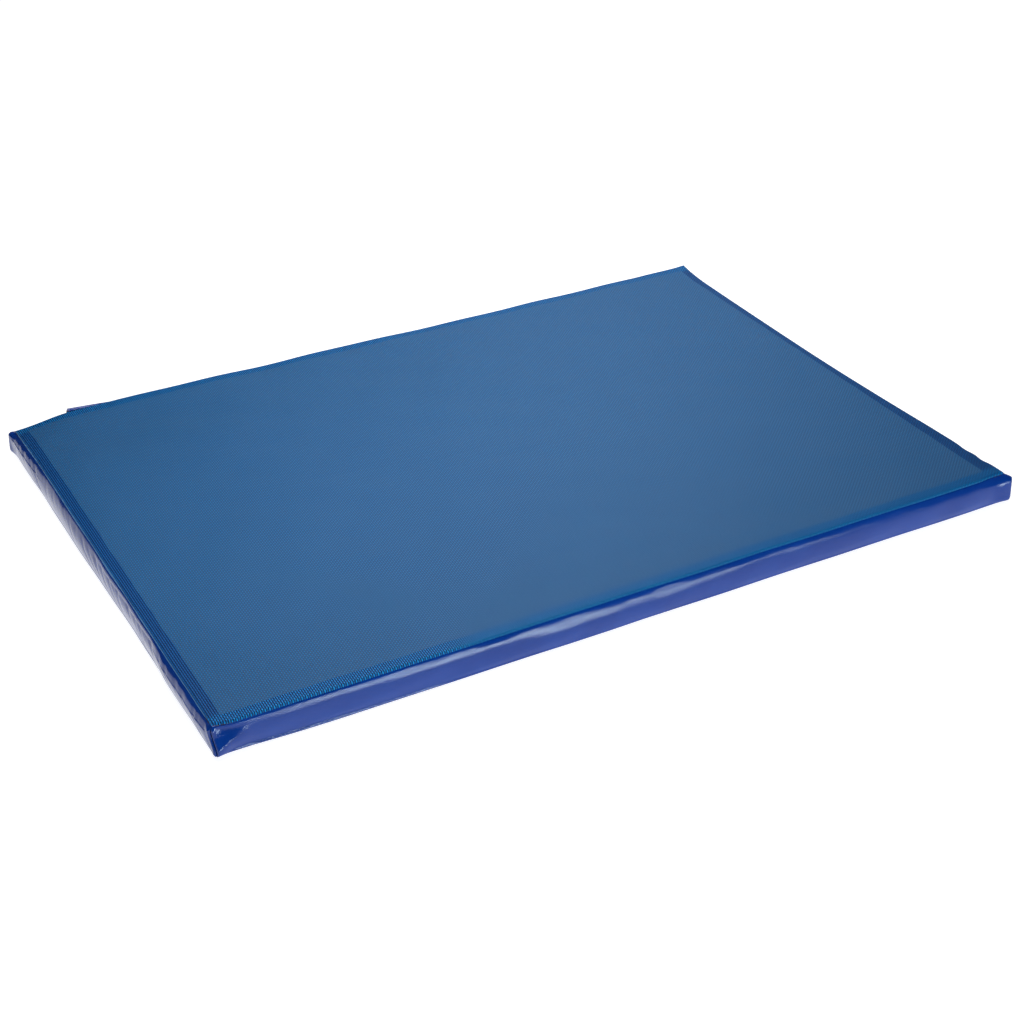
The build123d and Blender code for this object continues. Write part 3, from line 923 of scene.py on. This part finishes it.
def capsules(name, ends, radius):
    """A row of short round-ended threads, each between a pair of points."""
    sides = 6
    # How far along, and the share of the full radius there
    levels = [(0.0, 0.35), (0.12, 0.85), (0.3, 1.0), (0.7, 1.0), (0.88, 0.85), (1.0, 0.35)]
    vertices, faces = [], []
    for start, end in ends:
        start, end = np.array(start), np.array(end)
        axis = end - start
        axis = axis / np.linalg.norm(axis)
        helper = np.array([0, 0, 1.0]) if abs(axis[2]) < 0.9 else np.array([1.0, 0, 0])
        u = np.cross(axis, helper)
        u /= np.linalg.norm(u)
        v = np.cross(axis, u)
        base = len(vertices)
        for share, swell in levels:
            centre = start + (end - start) * share
            for k in range(sides):
                angle = 2 * math.pi * k / sides
                across = u * math.cos(angle) + v * math.sin(angle)
                vertices.append(centre + radius * swell * across)
        for level in range(len(levels) - 1):
            for k in range(sides):
                a, b = base + level * sides + k, base + level * sides + (k + 1) % sides
                faces.append((a, b, b + sides, a + sides))
        last = base + (len(levels) - 1) * sides
        faces.append(tuple(base + k for k in range(sides))[::-1])
        faces.append(tuple(last + k for k in range(sides)))
    return new_mesh(name, vertices, faces)


def run_of_stitches(length, pitch, stitch):
    """Start and end of each stitch along a line of the given length."""
    count = int(length / pitch)
    first = (length - (count - 1) * pitch - stitch) / 2
    return [(first + k * pitch, first + k * pitch + stitch) for k in range(count)]


def build_top_seam(material):
    """Stitches down in the crease between the mesh's rolled edge and the vinyl's shoulder."""
    z = TOP - 3.2 * MM
    corner = 3 * MM
    along_x, along_y = MESH_HIGH.x + 0.45 * MM, MESH_HIGH.y + 0.45 * MM
    ends = []
    for stitch_ends in run_of_stitches(2 * along_x - 2 * corner, STITCH_PITCH, STITCH_LENGTH):
        for side in (-1, 1):
            ends.append([(at - along_x + corner, side * along_y, z) for at in stitch_ends])
    for stitch_ends in run_of_stitches(2 * along_y - 2 * corner, STITCH_PITCH, STITCH_LENGTH):
        for side in (-1, 1):
            ends.append([(side * along_x, at - along_y + corner, z) for at in stitch_ends])
    # The thread shows only near the corners: elsewhere it has sunk under the mesh's rolled edge
    points = np.array(ends).reshape(-1, 3)
    gap = np.maximum(along_x - np.abs(points[:, 0]), along_y - np.abs(points[:, 1]))
    sunk = smooth(gap, 8 * MM, 26 * MM)
    points[:, 2] -= sunk * 0.4 * MM
    points[:, :2] *= 1 - sunk[:, None] * 1.2 * MM / HALF_WIDTH
    seam = capsules("top_seam_stitches", settle(points).reshape(-1, 2, 3), 0.28 * MM)
    finish_piece(seam, "cover", material, "top_seam_thread")


def build_corner_seams(material):
    """A short row of stitches in the crease of each pinched corner."""
    foot, crease = 4 * MM, 1.5 * MM
    for (side_x, side_y), ear in EARS.items():
        name = ("front" if side_y < 0 else "rear") + ("_left" if side_x < 0 else "_right")
        ends = []
        for stitch_ends in run_of_stitches(TOP - 9 * MM, 4.2 * MM, 2.8 * MM):
            pair = []
            for z in (at + foot for at in stitch_ends):
                reach = (ear_reach(ear, 0.0, z) - crease) / math.sqrt(2) - CORNER_ARC
                pair.append((side_x * (HALF_LENGTH + reach), side_y * (HALF_WIDTH + reach), z))
            ends.append(pair)
        flat = settle(np.array(ends).reshape(-1, 3)).reshape(-1, 2, 3)
        seam = capsules(f"{name}_seam_stitches", flat, 0.25 * MM)
        finish_piece(seam, "cover", material, f"{name}_seam_thread")


def rear_face(x, z, set_back, most):
    """Points of the rear wall, set back from its face and no further out than the given place."""
    line = curve_through(SECTION, SECTION_STEPS)[::-1]
    stand = np.interp(z, line[:, 1], line[:, 0])
    calm = smooth(HALF_LENGTH - np.abs(x), 4 * MM, 22 * MM)
    y = HALF_WIDTH + stand + calm * wall_folds(REAR, -x, z, HALF_LENGTH) - set_back
    return settle(np.stack([x, np.minimum(y, most), z], axis=-1))


def build_zip_seams(material):
    """The rows of stitches that hold the zip's tapes to the vinyl above and below the slot."""
    for name in ("upper", "lower"):
        low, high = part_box(f"zip_seam_thread_{name}")
        runs = np.array(run_of_stitches(high.x - low.x, 3.6 * MM, 2.7 * MM)).ravel() + low.x
        level = np.full(len(runs), (low.z + high.z) / 2)
        ends = rear_face(runs, level, -0.08 * MM, high.y + MM).reshape(-1, 2, 3)
        seam = capsules(f"zip_seam_stitches_{name}", ends, 0.24 * MM)
        finish_piece(seam, "cover", material, f"zip_seam_thread_{name}")


# ------------------------ the flap over the zip


def build_flap(material):
    """The flap: a hanging sheet, whose ripples fade out towards its sewn edge."""
    wall = HALF_WIDTH
    face = FLAP_HIGH.y - VINYL / 2
    path = curve_through(
        [
            (wall - 5.2 * MM, TOP - 2.6 * MM),
            (wall - 3.6 * MM, TOP - 2.4 * MM),
            (wall - 1.6 * MM, TOP - 3.3 * MM),
            (wall + 0.9 * MM, TOP - 5.6 * MM),
            (wall + 3.9 * MM, TOP - 9.0 * MM),
            (face - 0.3 * MM, TOP - 13.5 * MM),
            (face, TOP - 18.5 * MM),
            (face - 0.1 * MM, TOP - 24.0 * MM),
            (face - 0.2 * MM, FLAP_LOW.z),
        ],
        4,
    )
    xs = np.linspace(FLAP_LOW.x, FLAP_HIGH.x, 247)
    x, row = np.meshgrid(xs, np.arange(len(path)))
    y, z = path[row, 0], path[row, 1]
    hang = smooth(TOP - z, 6 * MM, TOP)
    loose = smooth(TOP - z, 16 * MM, TOP)
    y = y + hang * (0.35 * MM + 0.55 * MM * ripple(x, z, 120 * MM, 51) * loose)
    low_edge = smooth(TOP - z, 24 * MM, TOP)
    z = z + low_edge * 0.5 * MM * ripple(x, 0, 200 * MM, 52)
    # The left end stands off the shoulder a little
    end = np.clip(1 - (x - FLAP_LOW.x) / (75 * MM), 0, 1) ** 0.8
    shoulder = smooth(TOP - z, 1.5 * MM, 3 * MM) * smooth(z, TOP - 16 * MM, TOP - 8 * MM)
    z = z + end * shoulder * 6.5 * MM
    points = np.stack([x, y, z], axis=-1).reshape(-1, 3)
    flap = new_mesh("zip_flap", points, grid_faces(len(path), len(xs)))
    thicken(flap, VINYL, 0.0)
    round_edges(flap, 0.2 * MM, 2, 30)
    flap.data.materials.append(material)
    start, end = (0, wall - 5.0 * MM, TOP - 2 * MM), (0, wall + 1.0 * MM, TOP - 2 * MM)
    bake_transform(flap)
    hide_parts("storm_flap")


# ------------------------ the zip


def build_tapes(material):
    """The zip's two tapes, which bend with the vinyl that they are sewn behind."""
    for name in ("upper", "lower"):
        low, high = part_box(f"zip_tape_{name}")
        xs = np.linspace(low.x, high.x, 195)
        levels = np.linspace(high.z, low.z, 12)
        x, z = np.meshgrid(xs, levels)
        points = rear_face(x.ravel(), z.ravel(), VINYL + 0.12 * MM, high.y)
        tape = new_mesh(f"zip_tape_ribbon_{name}", points, grid_faces(len(levels), len(xs)))
        thicken(tape, high.y - low.y)
        finish_piece(tape, "cover", material, f"zip_tape_{name}")


def build_coils(material):
    """Each half of the zip as a coil: a flattened helix of monofilament by the tape's edge."""
    wire, pitch = 0.34 * MM, 1.9 * MM
    per_turn, sides = 12, 5
    ring = np.arange(sides) * 2 * math.pi / sides
    for name, direction in (("upper", 1), ("lower", -1)):
        low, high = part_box(f"zip_coil_{name}")
        depth = (high.y - low.y) / 2 - wire
        width = (high.z - low.z) / 2 - wire
        steps = int((high.x - low.x - 2 * wire) / pitch * per_turn)
        turn = np.arange(steps + 1) * 2 * math.pi / per_turn
        x = low.x + wire + turn / (2 * math.pi) * pitch
        y = (low.y + high.y) / 2 + depth * np.cos(turn)
        z = (low.z + high.z) / 2 + direction * width * np.sin(turn)
        line = np.stack([x, y, z], axis=1)
        ahead = np.gradient(line, axis=0)
        ahead /= np.linalg.norm(ahead, axis=1)[:, None]
        side = np.cross(ahead, np.array([1.0, 0, 0]))
        side /= np.linalg.norm(side, axis=1)[:, None]
        other = np.cross(ahead, side)
        across = side[:, None] * np.cos(ring)[None, :, None]
        tube = line[:, None] + wire * (across + other[:, None] * np.sin(ring)[None, :, None])
        rows = len(line)
        index = np.arange(rows * sides).reshape(rows, sides)
        beside = np.roll(index, -1, axis=1)
        corners = [index[:-1], beside[:-1], beside[1:], index[1:]]
        quads = np.stack(corners, axis=-1).reshape(-1, 4)
        faces = list(quads) + [index[0][::-1], index[-1]]
        coil = new_mesh(f"zip_coil_wire_{name}", tube.reshape(-1, 3), faces)
        finish_piece(coil, "cover", material, f"zip_coil_{name}")


def build_zip_metal(material):
    """The zip's metal pieces: copies of their CAD shapes with rounded edges."""
    bodies = {
        "zip_slider": "slider",
        "zip_pull_tab": "pull_tab",
        "zip_top_stops": "cover",
        "zip_bottom_stop": "cover",
    }
    for name, body in bodies.items():
        piece = new_object(f"{name}_metal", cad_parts[name].data.copy())
        round_edges(piece, 0.15 * MM, 3, 40)
        finish_piece(piece, body, material, name)


# ------------------------ stage, light and camera


def build_stage():
    """A pale floor just under the mat."""
    bpy.ops.mesh.primitive_plane_add(size=30, location=(0, 0, -0.6 * MM))
    floor = bpy.context.object
    floor.name = "floor"
    n = Nodes("pale floor")
    n.finish((0.40, 0.40, 0.40, 1), 0.9, Specular_IOR_Level=0.0)
    n.shader.inputs["Emission Color"].default_value = (1, 1, 1, 1)
    n.shader.inputs["Emission Strength"].default_value = 0.95
    floor.data.materials.append(n.material)


def add_softbox(name, location, target, size, power, turn=0.0, colour=(1.0, 1.0, 1.0)):
    """A rectangular light that faces the target, turned about its own axis."""
    light = bpy.data.lights.new(name, "AREA")
    light.color = colour
    light.shape = "RECTANGLE"
    light.size, light.size_y = size
    light.energy = power
    obj = new_object(name, light)
    obj.location = location
    aim = (Vector(target) - Vector(location)).to_track_quat("-Z", "Y")
    obj.rotation_euler = (aim @ Euler((0, 0, turn)).to_quaternion()).to_euler()
    obj.visible_camera = False


def light_scene():
    """A dark studio with three softboxes: along the mat's diagonal, behind it and before it.

    The camera sees a white backdrop, while the mat is lit by the dark one.
    """
    world = bpy.data.worlds.new("studio")
    bpy.context.scene.world = world
    world.use_nodes = True
    tree = world.node_tree
    backdrop = tree.nodes.new("ShaderNodeMix")
    backdrop.data_type = "RGBA"
    backdrop.inputs[MIX_A].default_value = (0.035, 0.042, 0.06, 1)
    backdrop.inputs[MIX_B].default_value = (1, 1, 1, 1)
    light_path = tree.nodes.new("ShaderNodeLightPath")
    tree.links.new(light_path.outputs["Is Camera Ray"], backdrop.inputs[0])
    tree.links.new(backdrop.outputs[MIX_RESULT], tree.nodes["Background"].inputs["Color"])
    diagonal = math.atan2(HALF_WIDTH, HALF_LENGTH)
    add_softbox("overhead", (0.05, 0.1, 0.8), (0.05, 0.1, 0), (1.5, 0.35), 10.0, diagonal)
    add_softbox("rear", (1.5, 2.4, 1.3), (0.2, 0.1, 0), (1.2, 0.8), 14)
    cool = (0.78, 0.98, 1.08)
    add_softbox("strip", (0.70, -2.5, 0.14), (-0.1, -0.3, 0.1), (0.96, 0.2), 26, colour=cool)


def add_camera():
    """The photo's viewpoint, as fitted to the panel's corners, in lengths of the panel."""
    panel = 2 * MESH_HIGH.x
    camera = bpy.data.cameras.new("camera")
    camera.sensor_width = 36
    camera.lens = 64.5
    obj = new_object("camera", camera)
    obj.location = Vector((-0.9239, -1.7167, 1.1564)) * panel
    aim = Vector((-0.0222, -0.0806, 0.0)) * panel
    obj.rotation_euler = (aim - obj.location).to_track_quat("-Z", "Y").to_euler()
    bpy.context.scene.camera = obj
    bpy.context.scene.view_settings.view_transform = "Standard"


# ------------------------ the whole mat

vinyl = vinyl_material()
thread = thread_material("seam thread", (0.020, 0.012, 0.014, 1), (0.085, 0.046, 0.038, 1))
zip_thread = thread_material("zip seam thread", (0.004, 0.012, 0.06, 1), (0.012, 0.03, 0.13, 1))

build_tray(vinyl)
build_mesh_panel(weave_material())
build_foam(foam_material())
build_top_seam(thread)
build_corner_seams(thread)
build_zip_seams(zip_thread)
build_flap(vinyl)
build_tapes(tape_material())
build_coils(coil_material())
build_zip_metal(metal_material())
build_stage()
light_scene()
add_camera()
